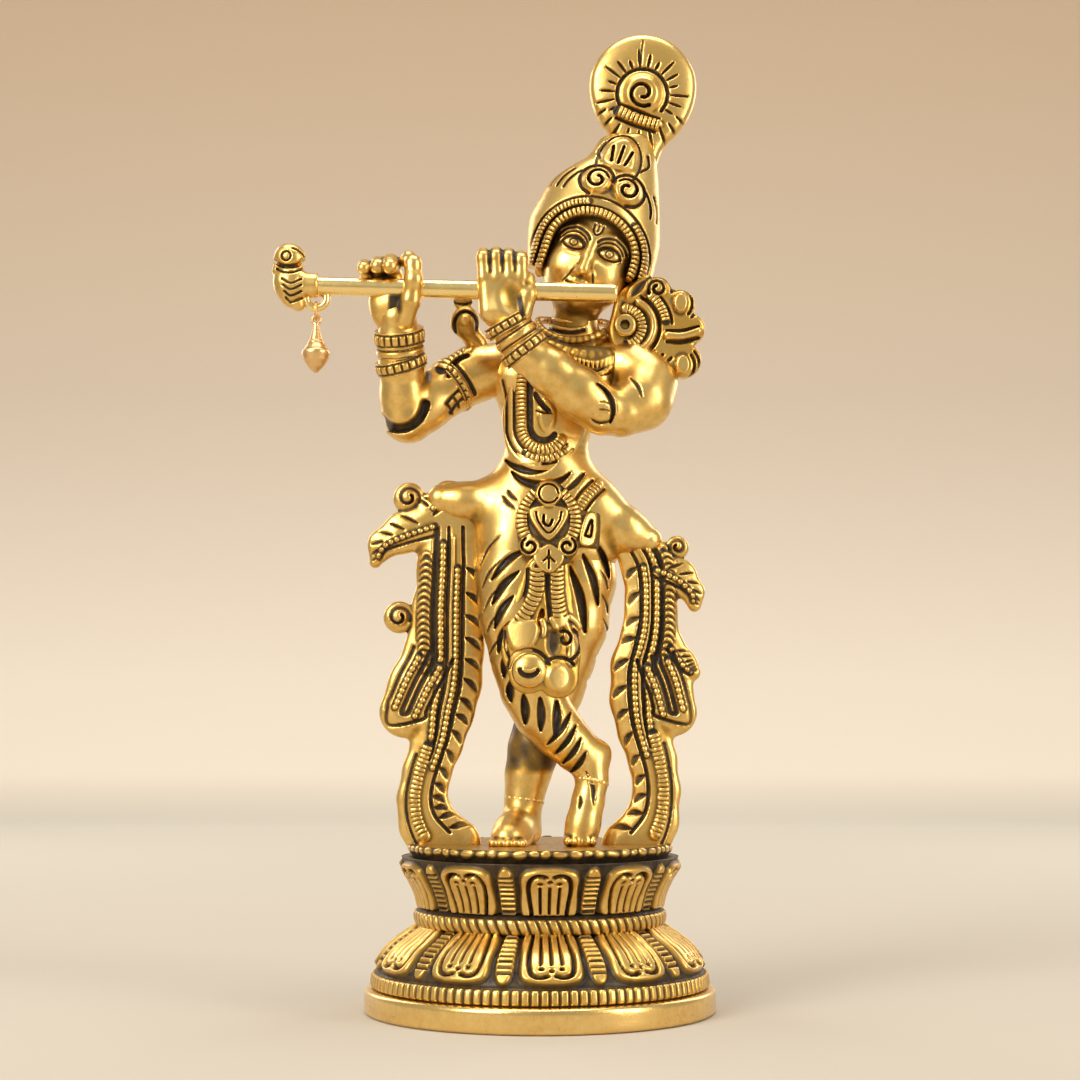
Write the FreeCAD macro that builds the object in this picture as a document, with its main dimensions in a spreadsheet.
"""Cast brass statue of a standing flute player on a double lotus pedestal, in millimetres.

Frame: +Z up, X across the figure, -Y the side that the figure faces. The origin is the centre of the
pedestal's resting face. "right" and "left" are the figure's own sides, so right is towards -X.
Every sub-part is an object of one parametric document, and its sizes come from the sheet "Dims".
"""
import FreeCAD, Part
import os

import Sketcher
from FreeCAD import Placement, Rotation, Vector

doc = FreeCAD.newDocument("flute_player")
sheet = doc.addObject("Spreadsheet::Sheet", "Dims")
sub_parts = []

# ---------------------------------------------------------------- driving dimensions
DIMENSIONS = {
    # pedestal, from the resting face upwards
    "wall": 3.5,
    "flange_radius": 58.0,
    "flange_height": 8.0,
    "flange_edge": 1.2,
    "band_radius": 56.0,
    "band_top": 13.6,
    "petal_base_radius": 54.2,
    "petal_mid_radius": 49.6,
    "petal_mid_level": 21.4,
    "pedestal_neck_radius": 40.4,
    "pedestal_neck_level": 28.2,
    "rope_radius": 41.8,
    "rope_chamfer": 1.4,
    "rope_level": 34.6,
    "cup_mid_radius": 42.8,
    "cup_mid_level": 42.0,
    "cup_radius": 46.2,
    "cup_level": 50.2,
    "deck_radius": 44.0,
    "deck_level": 54.5,
    "lower_petals": 11,
    "upper_petals": 10,
    "petal_half_width": 9.0,
    "petal_half_length": 8.0,
    "petal_half_depth": 2.4,
    # fasteners inside the pedestal
    "crossed_stud_x": 13.5,
    "crossed_stud_y": -12.0,
    "standing_stud_x": -8.0,
    "standing_stud_y": -3.0,
    "stud_radius": 2.0,
    "stud_reach": 6.0,
    "stud_hang": 7.0,
    "stud_length": "=stud_reach + deck_level - cup_level + stud_hang",
    "stud_base": "=cup_level - stud_hang",
    "washer_radius": 5.0,
    "washer_thickness": 1.0,
    "washer_base": "=cup_level - washer_thickness",
    "nut_width_over_flats": 7.0,
    "nut_corner_radius": "=nut_width_over_flats / sqrt(3)",
    "nut_thickness": 3.2,
    "nut_base": "=washer_base - nut_thickness",
    # flute, its eye and the pendant
    "flute_radius": 3.1,
    "flute_length": 104.0,
    "flute_x": -78.0,
    "flute_y": -24.0,
    "flute_z": 238.2,
    "flute_angle": 91.4,
    "collar_radius": 4.3,
    "collar_length": 5.0,
    "eye_x": -73.6,
    "eye_z": 234.0,
    "eye_radius": 3.4,
    "eye_wire_radius": 1.25,
    "link_radius": 2.8,
    "link_wire_radius": 0.5,
    "link_z": 229.75,
    "stem_eye_radius": 1.3,
    "stem_eye_wire_radius": 0.5,
    "stem_eye_z": 226.8,
    "stem_top_radius": 0.9,
    "stem_foot_radius": 2.2,
    "stem_length": 5.6,
    "stem_base": "=stem_eye_z - stem_eye_radius - stem_length",
    "drop_radius": 4.75,
    "drop_half_height": 5.7,
    "drop_z": 214.7,
    # flat cast pieces: where the middle of their thickness is, and the thickness
    "sash_y": -2.0,
    "sash_thickness": 7.0,
    "fan_y": -7.0,
    "fan_thickness": 9.0,
    "garland_y": -13.4,
    "garland_thickness": 6.0,
    "buckle_y": -14.0,
    "buckle_thickness": 6.0,
    "apron_y": -15.5,
    "apron_thickness": 10.0,
    # small rings and discs
    "earring_x": 28.4,
    "earring_y": "=fan_y - fan_thickness / 2 + 1",
    "earring_z": 227.3,
    "earring_radius": 4.2,
    "earring_hole_radius": 1.4,
    "earring_thickness": 4.0,
    "knee_disc_x": -3.4,
    "knee_disc_y": -15.2,
    "knee_disc_z": 111.6,
    "knee_disc_radius": 5.4,
    "knee_disc_thickness": 6.0,
}

# Half sections of the turned pieces: corners as radius and level.
PROFILES = {
    "foot_ring": [
        ("petal_base_radius - wall", "0"),
        ("flange_radius", "0"),
        ("flange_radius", "flange_height - flange_edge"),
        ("flange_radius - flange_edge", "flange_height"),
        ("petal_base_radius - wall", "flange_height"),
    ],
    "bead_band": [
        ("petal_base_radius - wall", "flange_height"),
        ("band_radius", "flange_height"),
        ("band_radius", "band_top"),
        ("petal_base_radius - wall", "band_top"),
    ],
    "lower_lotus": [
        ("petal_base_radius - wall", "band_top"),
        ("petal_base_radius", "band_top"),
        ("petal_mid_radius", "petal_mid_level"),
        ("pedestal_neck_radius", "pedestal_neck_level"),
        ("pedestal_neck_radius - wall", "pedestal_neck_level"),
        ("petal_mid_radius - wall", "petal_mid_level - wall"),
    ],
    "rope_ring": [
        ("pedestal_neck_radius - wall", "pedestal_neck_level"),
        ("pedestal_neck_radius", "pedestal_neck_level"),
        ("rope_radius", "pedestal_neck_level + rope_chamfer"),
        ("rope_radius", "rope_level - rope_chamfer"),
        ("pedestal_neck_radius", "rope_level"),
        ("pedestal_neck_radius - wall", "rope_level"),
    ],
    "upper_lotus": [
        ("pedestal_neck_radius - wall", "rope_level"),
        ("pedestal_neck_radius", "rope_level"),
        ("cup_mid_radius", "cup_mid_level"),
        ("cup_radius", "cup_level"),
        ("cup_radius - wall", "cup_level"),
        ("cup_mid_radius - wall", "cup_mid_level"),
    ],
    "deck_plate": [
        ("0", "cup_level"),
        ("deck_radius", "cup_level"),
        ("deck_radius", "deck_level"),
        ("0", "deck_level"),
    ],
}

# Lofted pieces: centre x, y, z of each section, half width and half depth.
LIMBS = {
    "torso": [
        (2.0, 0.0, 150.0, 21.5, 13.0),
        (1.5, 0.0, 163.0, 22.8, 13.5),
        (1.5, 0.0, 174.0, 20.5, 12.8),
        (2.2, 0.0, 187.0, 14.3, 11.2),
        (3.5, 0.0, 201.0, 18.5, 12.5),
        (6.0, 0.0, 213.0, 25.5, 12.8),
        (8.5, 0.0, 222.0, 19.0, 9.5),
        (11.5, -1.0, 231.0, 7.8, 7.6),
        (13.5, -2.0, 240.0, 7.6, 7.4),
    ],
    "crossed_leg": [
        (-8.0, -2.0, 158.0, 12.5, 12.5),
        (-8.5, -6.0, 135.0, 12.0, 12.0),
        (-5.0, -9.0, 115.0, 10.6, 10.6),
        (2.0, -9.8, 97.0, 9.0, 9.0),
        (14.0, -8.5, 83.0, 6.6, 6.6),
    ],
    "standing_leg": [
        (12.0, 3.0, 158.0, 12.5, 12.5),
        (12.3, 3.5, 135.0, 11.5, 11.5),
        (6.5, 5.0, 113.0, 9.4, 9.4),
        (0.0, 5.0, 92.0, 8.2, 8.2),
        (-4.6, 3.0, 75.0, 6.6, 6.6),
        (-6.0, 1.5, 61.0, 6.2, 6.2),
    ],
    "crossed_foot": [
        (21.0, -7.0, 86.5, 4.6, 4.6),
        (17.5, -9.0, 77.0, 5.2, 5.2),
        (15.0, -11.0, 65.0, 5.0, 5.0),
        (13.0, -12.5, 53.0, 6.0, 6.0),
    ],
    "right_upper_arm": [
        (-14.0, -1.0, 215.5, 8.5, 8.5),
        (-27.0, -3.5, 210.5, 9.2, 9.2),
        (-38.0, -7.0, 202.0, 8.8, 8.8),
        (-46.0, -9.5, 193.0, 6.0, 6.0),
    ],
    "right_forearm": [
        (-45.5, -9.0, 190.5, 6.0, 6.0),
        (-45.0, -10.0, 197.0, 8.6, 8.6),
        (-46.0, -13.0, 211.0, 7.8, 7.8),
        (-46.4, -17.0, 221.0, 6.6, 6.6),
        (-46.9, -20.5, 229.0, 6.0, 6.0),
    ],
    "left_upper_arm": [
        (26.0, -1.5, 216.0, 8.0, 8.0),
        (34.0, -5.0, 209.0, 9.4, 9.4),
        (31.0, -11.0, 201.5, 9.4, 9.4),
        (22.0, -15.5, 197.5, 7.0, 7.0),
    ],
    "left_forearm": [
        (27.0, -14.0, 197.0, 5.5, 5.5),
        (20.0, -17.0, 199.5, 8.6, 8.6),
        (6.0, -20.5, 208.0, 7.4, 7.4),
        (-4.0, -22.0, 215.5, 6.5, 6.5),
        (-9.5, -23.0, 222.0, 6.2, 6.2),
    ],
    "crown": [
        (18.0, -1.5, 258.0, 21.5, 18.5),
        (19.5, -1.5, 266.0, 21.0, 18.0),
        (23.0, -2.0, 276.0, 16.5, 14.5),
        (28.5, -2.5, 286.0, 11.5, 10.0),
        (32.0, -3.0, 293.5, 8.5, 6.5),
    ],
    "right_sash_knot": [
        (-12.0, -1.0, 166.0, 8.0, 8.0),
        (-24.0, -1.5, 168.5, 7.5, 7.5),
        (-32.0, -2.0, 169.5, 5.5, 5.5),
    ],
    "left_sash_knot": [
        (19.0, -2.0, 157.0, 8.0, 8.0),
        (28.0, -2.4, 157.6, 7.8, 7.8),
        (37.0, -2.6, 158.2, 5.5, 5.5),
    ],
    "hip_belt": [
        (1.5, 0.0, 171.5, 23.6, 15.2),
        (1.8, 0.0, 178.5, 20.2, 14.0),
    ],
}

# Ellipsoids: centre x, y, z, half width, half depth, half height, and the sideways lean in degrees.
BALLS = {
    "standing_foot": (-9.3, -5.5, 57.5, 8.4, 10.6, 5.0, 0.0),
    "right_palm": (-47.0, -23.0, 233.0, 8.0, 6.0, 8.0, 0.0),
    "right_fingers": (-49.0, -24.5, 241.5, 10.5, 5.0, 5.5, 0.0),
    "left_palm": (-11.8, -24.5, 236.0, 8.8, 7.0, 13.5, -8.0),
    "finial_body": (-81.5, -24.0, 239.6, 6.0, 5.2, 6.0, 0.0),
    "finial_head": (-81.8, -24.0, 247.2, 5.8, 4.6, 5.4, 0.0),
    "head": (17.0, -3.5, 251.3, 15.8, 16.5, 20.5, 19.5),
    "peacock_plume": (35.2, -3.0, 309.4, 18.3, 4.2, 20.6, 0.0),
    "shoulder_curl": (-24.0, -6.0, 228.8, 5.2, 5.6, 7.0, 0.0),
}

# Round cuffs: centre x, y, z, direction of the axis x, y, z, outer radius and length along the axis.
BANDS = {
    "crossed_anklet": (16.4, -9.9, 72.0, 2.5, 2.0, 12.0, 6.4, 3.6),
    "standing_anklet": (-5.3, 2.3, 68.5, 1.4, 1.5, 14.0, 8.2, 4.4),
    "right_bracelet_upper": (-46.4, -17.0, 222.0, -0.4, -5.0, 10.0, 8.6, 4.6),
    "right_bracelet_lower": (-46.1, -15.0, 216.0, -0.4, -5.0, 10.0, 9.4, 4.6),
    "left_bracelet_upper": (-7.0, -22.6, 219.3, -6.0, -1.2, 6.8, 8.2, 4.0),
    "left_bracelet_lower": (-2.6, -21.8, 214.4, -6.0, -1.2, 6.8, 8.8, 4.0),
    "right_armlet": (-28.0, -3.8, 209.6, -11.0, -3.5, -8.5, 11.2, 6.0),
    "neck_collar": (12.0, -1.2, 230.5, 2.5, -1.5, 9.0, 10.5, 4.0),
    "neck_beads": (11.0, -1.5, 225.6, 2.5, -2.0, 9.0, 13.0, 5.0),
}

# Outlines of the flat cast pieces as x, z points of a smooth curve, and corners that close it.
OUTLINES = {
    "shoulder_fan": [
        (26.0, 231.0),
        (31.0, 242.5),
        (39.0, 244.5),
        (47.4, 242.3),
        (54.0, 234.0),
        (55.6, 228.0),
        (53.0, 216.5),
        (47.0, 210.5),
        (38.0, 212.0),
        (29.0, 219.0),
    ],
    "long_garland": [(-6.0, 219.0), (-5.5, 203.0), (-1.5, 190.0), (6.0, 184.5), (13.0, 190.0), (15.5, 201.0)],
    "belt_buckle": [
        (2.2, 177.5),
        (10.0, 173.5),
        (15.5, 163.0),
        (12.0, 154.0),
        (2.2, 147.5),
        (-7.6, 154.0),
        (-11.0, 163.0),
        (-5.6, 173.5),
    ],
    "front_apron": [
        (-4.0, 150.0),
        (-2.5, 134.0),
        (3.0, 119.0),
        (9.0, 110.0),
        (13.0, 122.0),
        (13.5, 136.0),
        (10.0, 150.0),
    ],
    "right_sash": [
        (-27.0, 55.5),
        (-29.8, 68.0),
        (-27.5, 84.0),
        (-20.5, 106.0),
        (-19.6, 140.0),
        (-22.0, 160.0),
        (-28.0, 171.0),
        (-38.0, 175.5),
        (-46.5, 174.5),
        (-49.5, 168.0),
        (-56.0, 158.0),
        (-52.5, 149.5),
        (-43.5, 147.0),
        (-44.5, 138.5),
        (-51.5, 132.0),
        (-47.0, 124.5),
        (-41.5, 122.0),
        (-50.5, 104.5),
        (-53.0, 93.0),
        (-45.5, 84.5),
        (-46.5, 70.0),
        (-43.2, 56.0),
    ],
    "left_sash": [
        (43.5, 56.0),
        (46.0, 72.0),
        (43.5, 86.0),
        (50.5, 90.0),
        (51.5, 98.5),
        (48.0, 106.0),
        (52.5, 112.0),
        (46.5, 121.5),
        (45.5, 131.0),
        (53.0, 137.5),
        (49.5, 149.0),
        (47.0, 156.5),
        (40.0, 159.0),
        (30.5, 157.0),
        (29.6, 138.0),
        (24.0, 109.0),
        (24.8, 92.0),
        (30.5, 76.0),
        (27.0, 64.0),
        (22.0, 56.5),
    ],
}
CORNERS = {
    "long_garland": [(15.0, 219.0)],
    "right_sash": [(-43.6, 54.5), (-21.0, 54.5)],
    "left_sash": [(20.3, 54.5), (43.6, 54.5)],
}

PROFILE_WORDS = ("radius", "level")
LIMB_WORDS = ("x", "y", "z", "wide", "deep")
BALL_WORDS = ("x", "y", "z", "half_width", "half_depth", "half_height", "lean")
BAND_WORDS = ("x", "y", "z", "ahead_x", "ahead_y", "ahead_z", "cuff_radius", "cuff_length")


def fill_sheet():
    """Writes every named number: its name in column A, and in column B the number or its formula."""
    rows = list(DIMENSIONS.items())
    for name, corners in PROFILES.items():
        for i, corner in enumerate(corners, start=1):
            rows += [("%s_%s%d" % (name, word, i), "=" + text) for word, text in zip(PROFILE_WORDS, corner)]
    for name, stations in LIMBS.items():
        for i, station in enumerate(stations, start=1):
            rows += [("%s_%s%d" % (name, word, i), value) for word, value in zip(LIMB_WORDS, station)]
    for name, values in BALLS.items():
        rows += [("%s_%s" % (name, word), value) for word, value in zip(BALL_WORDS, values)]
    for name, values in BANDS.items():
        rows += [("%s_%s" % (name, word), value) for word, value in zip(BAND_WORDS, values)]
    for row, (alias, content) in enumerate(rows, start=1):
        sheet.set("A%d" % row, alias)
        sheet.set("B%d" % row, str(content))
        sheet.setAlias("B%d" % row, alias)
    doc.recompute()


def number(alias):
    """The number in a named cell."""
    return float(sheet.get(alias))


def bind(thing, **aliases):
    """Binds properties to named cells. A dot in a property's name is written as a double underscore."""
    for prop, alias in aliases.items():
        thing.setExpression(prop.replace("__", "."), "Dims." + alias)
    return thing


def add(kind, name, **aliases):
    """A new object of the document with its properties bound."""
    return bind(doc.addObject(kind, name), **aliases)


def place(thing, x, y, z, rotation=Rotation()):
    """Puts a thing at a place given by three named cells, turned by a fixed rotation."""
    thing.Placement = Placement(Vector(), rotation)
    return bind(thing, Placement__Base__x=x, Placement__Base__y=y, Placement__Base__z=z)


def keep(thing, label):
    """Marks a thing as a sub-part, which is written to parts/LABEL.step."""
    thing.Label = label
    sub_parts.append(thing)
    return thing


# ---------------------------------------------------------------- ways of making a piece
ACROSS = Rotation(Vector(0, 1, 0), 90)
FORWARD = Rotation(Vector(1, 0, 0), 90)


def origin_feature(body, role):
    """One of a body's own origin planes or axes, such as XZ_Plane or Z_Axis."""
    return next(f for f in body.Origin.OriginFeatures if f.Role == role)


def new_sketch(body):
    """An empty sketch on the body's own XZ plane."""
    sketch = body.newObject("Sketcher::SketchObject", body.Name + "_sketch")
    sketch.AttachmentSupport = [(origin_feature(body, "XZ_Plane"), "")]
    sketch.MapMode = "FlatFace"
    return sketch


def turned(name):
    """A body turned about Z from its profile, with each corner held by the cells of the sheet."""
    body = doc.addObject("PartDesign::Body", name + "_body")
    sketch = new_sketch(body)
    count = len(PROFILES[name])
    cells = [("%s_radius%d" % (name, i + 1), "%s_level%d" % (name, i + 1)) for i in range(count)]
    points = [Vector(number(radius), number(level), 0) for radius, level in cells]
    for i, point in enumerate(points):
        sketch.addGeometry(Part.LineSegment(point, points[(i + 1) % count]), False)
    for i in range(count):
        sketch.addConstraint(Sketcher.Constraint("Coincident", i, 2, (i + 1) % count, 1))
    for i, (radius, level) in enumerate(cells):
        for kind, axis, alias, value in (
            ("DistanceX", -2, radius, points[i].x),
            ("DistanceY", -1, level, points[i].y),
        ):
            if value == 0:
                sketch.addConstraint(Sketcher.Constraint("PointOnObject", i, 1, axis))
                continue
            index = sketch.addConstraint(Sketcher.Constraint(kind, -1, 1, i, 1, value))
            sketch.setExpression("Constraints[%d]" % index, "Dims." + alias)
    turn = body.newObject("PartDesign::Revolution", name + "_turned")
    turn.Profile = sketch
    turn.ReferenceAxis = (sketch, ["V_Axis"])
    turn.Angle = 360
    doc.recompute()
    return body


def petals(body, count, radius, level, lean):
    """Adds leaning almond-shaped petals round a turned body, in a polar pattern."""
    petal = body.newObject("PartDesign::AdditiveEllipsoid", body.Name + "_petal")
    bind(petal, Radius1="petal_half_length", Radius2="petal_half_width", Radius3="petal_half_depth")
    petal.Placement = Placement(Vector(0, -number(radius), number(level)), Rotation(Vector(1, 0, 0), lean))
    doc.recompute()
    ring = body.newObject("PartDesign::PolarPattern", body.Name + "_petals")
    ring.Originals = [petal]
    ring.Axis = (origin_feature(body, "Z_Axis"), [""])
    ring.Angle = 360
    bind(ring, Occurrences=count)
    body.Tip = ring
    doc.recompute()
    return body


def facing(along):
    """Turns an ellipse so that its normal is `along` and its minor axis points into the depth, Y."""
    normal = Vector(along).normalize()
    depth = Vector(0, 1, 0) - normal * normal.y
    depth.normalize()
    return Rotation(depth.cross(normal), depth, normal, "ZXY")


def limb(name):
    """A loft through the elliptical sections of a limb."""
    points = [Vector(*station[:3]) for station in LIMBS[name]]
    sections = []
    for i in range(len(points)):
        along = points[min(i + 1, len(points) - 1)] - points[max(i - 1, 0)]
        x, y, z, wide, deep = ("%s_%s%d" % (name, word, i + 1) for word in LIMB_WORDS)
        section = add("Part::Ellipse", "%s_section%d" % (name, i + 1), MajorRadius=wide, MinorRadius=deep)
        sections.append(place(section, x, y, z, facing(along)))
    loft = doc.addObject("Part::Loft", name + "_loft")
    loft.Sections = sections
    loft.Solid = True
    doc.recompute()
    return loft


def plate(name):
    """A plate in the XZ plane. Its outline is a smooth closed curve, or a smooth curve that straight
    edges close through the corners."""
    body = doc.addObject("PartDesign::Body", name + "_body")
    sketch = new_sketch(body)
    points = [Vector(x, z, 0) for x, z in OUTLINES[name]]
    corners = [Vector(x, z, 0) for x, z in CORNERS.get(name, [])]
    curve = Part.BSplineCurve()
    if corners:
        curve.interpolate(points)
        run = [points[-1]] + corners + [points[0]]
        for start, end in zip(run, run[1:]):
            sketch.addGeometry(Part.LineSegment(start, end), False)
    else:
        curve.interpolate(Points=points, PeriodicFlag=True)
    sketch.addGeometry(curve, False)
    kind = name.split("_")[-1]
    pad = body.newObject("PartDesign::Pad", name + "_pad")
    pad.Profile = sketch
    pad.Midplane = True
    bind(pad, Length=kind + "_thickness")
    bind(body, Placement__Base__y=kind + "_y")
    doc.recompute()
    return body


def ball(name):
    """An ellipsoid at its place, leant sideways about its centre."""
    x, y, z, width, depth, height, lean = ("%s_%s" % (name, word) for word in BALL_WORDS)
    solid = add("Part::Ellipsoid", name + "_ball", Radius1=height, Radius2=width, Radius3=depth)
    solid.Angle1, solid.Angle2, solid.Angle3 = -90, 90, 360
    place(solid, x, y, z, Rotation(Vector(0, 1, 0), 1))
    bind(solid, Placement__Rotation__Angle=lean)
    doc.recompute()
    return solid


def band(name):
    """A round cuff about a limb. The limb inside is cut out of it later."""
    values = BANDS[name]
    axis = Vector(*values[3:6]).normalize()
    cuff = add("Part::Cylinder", name + "_cuff", Radius=name + "_cuff_radius", Height=name + "_cuff_length")
    cuff.Placement = Placement(Vector(), Rotation(Vector(0, 0, 1), axis))
    for word, part in zip("xyz", axis):
        formula = "Dims.%s_%s - Dims.%s_cuff_length * %.4f" % (name, word, name, part / 2)
        cuff.setExpression("Placement.Base." + word, formula)
    doc.recompute()
    return cuff


def fused(name, *things):
    """Several solids as one object."""
    fusion = doc.addObject("Part::MultiFuse", name)
    fusion.Shapes = list(things)
    doc.recompute()
    return fusion


def seat(label, raw, *neighbours):
    """A sub-part that seats against its neighbours: their solids are cut out of it."""
    for i, neighbour in enumerate(neighbours, start=1):
        cut = doc.addObject("Part::Cut", "%s_seat%d" % (label, i))
        cut.Base = raw
        cut.Tool = neighbour
        doc.recompute()
        raw = cut
    return keep(raw, label)


fill_sheet()

# ---------------------------------------------------------------- pedestal: hollow cast shells
keep(turned("foot_ring"), "foot_ring")
keep(turned("bead_band"), "bead_band")
lower_lotus = petals(turned("lower_lotus"), "lower_petals", "petal_mid_radius", "petal_mid_level", -50)
keep(lower_lotus, "lower_lotus")
rope_ring = turned("rope_ring")
seat("rope_ring", rope_ring, lower_lotus)
upper_lotus = petals(turned("upper_lotus"), "upper_petals", "cup_mid_radius", "cup_mid_level", 24)
seat("upper_lotus", upper_lotus, rope_ring)


# ---------------------------------------------------------------- fasteners under the deck
def on_each_stud(name, kind, base, **aliases):
    """The same solid on the axis of each foot's stud, joined into one object of separate solids."""
    pieces = []
    for foot in ("crossed", "standing"):
        blank = add(kind, "%s_%s" % (foot, name), **aliases)
        pieces.append(place(blank, foot + "_stud_x", foot + "_stud_y", base))
    return fused(name, *pieces)


studs = on_each_stud("studs", "Part::Cylinder", "stud_base", Radius="stud_radius", Height="stud_length")
washers = on_each_stud(
    "washers", "Part::Cylinder", "washer_base", Radius="washer_radius", Height="washer_thickness"
)
nuts = on_each_stud("nuts", "Part::Prism", "nut_base", Circumradius="nut_corner_radius", Height="nut_thickness")
keep(studs, "foot_studs")
seat("foot_washers", washers, studs)
seat("foot_nuts", nuts, studs)
deck = turned("deck_plate")
seat("deck_plate", deck, studs)

# ---------------------------------------------------------------- body and legs
torso = keep(limb("torso"), "torso")
crossed_leg = limb("crossed_leg")
seat("crossed_leg", crossed_leg, torso)
standing_leg = limb("standing_leg")
seat("standing_leg", standing_leg, torso, crossed_leg)
crossed_foot = seat("crossed_foot", limb("crossed_foot"), deck, crossed_leg, studs)
standing_foot = seat("standing_foot", ball("standing_foot"), deck, standing_leg, studs)
seat("crossed_anklet", band("crossed_anklet"), crossed_foot)
seat("standing_anklet", band("standing_anklet"), standing_leg)

# ---------------------------------------------------------------- arms, flute and hands
right_upper_arm = limb("right_upper_arm")
right_forearm = keep(limb("right_forearm"), "right_forearm")
seat("right_upper_arm", right_upper_arm, torso, right_forearm)
left_upper_arm = limb("left_upper_arm")
left_forearm = seat("left_forearm", limb("left_forearm"), torso)
seat("left_upper_arm", left_upper_arm, left_forearm, torso)

FLUTE_TURN = Rotation(Vector(0, 1, 0), number("flute_angle"))
flute = add("Part::Cylinder", "flute_tube", Radius="flute_radius", Height="flute_length")
place(flute, "flute_x", "flute_y", "flute_z", FLUTE_TURN)
keep(flute, "flute")

right_hand = fused("right_hand_cast", ball("right_palm"), ball("right_fingers"))
seat("right_hand", right_hand, flute, right_forearm)
left_hand = ball("left_palm")
seat("left_hand", left_hand, flute, left_forearm)
right_cuffs = fused("right_cuffs", band("right_bracelet_upper"), band("right_bracelet_lower"))
seat("right_bracelets", right_cuffs, right_forearm, right_hand)
left_cuffs = fused("left_cuffs", band("left_bracelet_upper"), band("left_bracelet_lower"))
seat("left_bracelets", left_cuffs, left_forearm, left_hand)
armlet = band("right_armlet")
seat("right_armlet", armlet, right_upper_arm, torso)

# ---------------------------------------------------------------- flute's end, eye and pendant
flute_collar = add("Part::Cylinder", "flute_collar", Radius="collar_radius", Height="collar_length")
place(flute_collar, "flute_x", "flute_y", "flute_z", FLUTE_TURN)
finial = fused("finial_cast", ball("finial_body"), ball("finial_head"), flute_collar)
seat("bird_finial", finial, flute)

hanger_eye = add("Part::Torus", "hanger_ring", Radius1="eye_radius", Radius2="eye_wire_radius")
place(hanger_eye, "eye_x", "flute_y", "eye_z", FORWARD)
seat("hanger_eye", hanger_eye, flute, finial)

link = add("Part::Torus", "link_ring", Radius1="link_radius", Radius2="link_wire_radius")
keep(place(link, "eye_x", "flute_y", "link_z", ACROSS), "pendant_link")

stem_ring = add("Part::Torus", "stem_ring", Radius1="stem_eye_radius", Radius2="stem_eye_wire_radius")
place(stem_ring, "eye_x", "flute_y", "stem_eye_z", FORWARD)
stem_cone = add(
    "Part::Cone", "stem_cone", Radius1="stem_foot_radius", Radius2="stem_top_radius", Height="stem_length"
)
place(stem_cone, "eye_x", "flute_y", "stem_base")
stem = keep(fused("stem_cast", stem_ring, stem_cone), "pendant_stem")

drop = add("Part::Ellipsoid", "drop_ball", Radius1="drop_half_height", Radius2="drop_radius")
bind(drop, Radius3="drop_radius")
drop.Angle1, drop.Angle2, drop.Angle3 = -90, 90, 360
seat("pendant_drop", place(drop, "eye_x", "flute_y", "drop_z"), stem)

# ---------------------------------------------------------------- head, crown and plume
head = ball("head")
seat("head", head, torso, flute)
crown = limb("crown")
seat("crown", crown, head)
seat("peacock_plume", ball("peacock_plume"), crown)

earring = add("Part::Cylinder", "earring_disc", Radius="earring_radius", Height="earring_thickness")
earring_hole = add("Part::Cylinder", "earring_hole", Radius="earring_hole_radius", Height="earring_thickness")
for disc in (earring, earring_hole):
    place(disc, "earring_x", "earring_y", "earring_z", FORWARD)
fan = plate("shoulder_fan")
seat("shoulder_fan", fan, torso, left_upper_arm, head, earring, crown)
seat("earring", earring, earring_hole, head, torso)
seat("shoulder_curl", ball("shoulder_curl"), torso, right_upper_arm, armlet)

# ---------------------------------------------------------------- ornaments of the body
necklace = fused("necklace_cast", band("neck_collar"), band("neck_beads"))
seat("necklace", necklace, torso, head, fan, earring, left_forearm, left_upper_arm)
garland = plate("long_garland")
seat("garland", garland, torso, necklace, left_forearm, left_upper_arm, left_cuffs)
buckle = plate("belt_buckle")
seat("belt_buckle", buckle, torso, crossed_leg, standing_leg)
belt = limb("hip_belt")
seat("hip_belt", belt, torso, buckle)
apron = plate("front_apron")
seat("front_apron", apron, torso, crossed_leg, standing_leg, buckle)
knee_disc = add("Part::Cylinder", "knee_boss", Radius="knee_disc_radius", Height="knee_disc_thickness")
place(knee_disc, "knee_disc_x", "knee_disc_y", "knee_disc_z", FORWARD)
seat("knee_disc", knee_disc, crossed_leg, apron)

# ---------------------------------------------------------------- sashes at the sides
right_knot = limb("right_sash_knot")
seat("right_sash_knot", right_knot, torso, crossed_leg, belt)
seat("right_sash", plate("right_sash"), torso, right_knot, belt, crossed_leg)
left_knot = limb("left_sash_knot")
seat("left_sash_knot", left_knot, standing_leg, torso, belt)
seat("left_sash", plate("left_sash"), torso, left_knot, belt, standing_leg)

# ---------------------------------------------------------------- checks and export
doc.recompute()
faults = [thing.Name for thing in doc.Objects if "Invalid" in thing.State or "Error" in thing.State]
for piece in sub_parts:
    if piece.Shape.isNull() or not piece.Shape.isValid() or not piece.Shape.Solids:
        faults.append("shape of " + piece.Label)
if faults:
    raise SystemExit("not written, because of: " + ", ".join(faults))

os.makedirs("parts", exist_ok=True)
for piece in sub_parts:
    piece.Shape.exportStep("parts/%s.step" % piece.Label)
    print("%-18s solids %d  volume %9.1f" % (piece.Label, len(piece.Shape.Solids), piece.Shape.Volume))
print("sub-parts:", len(sub_parts))
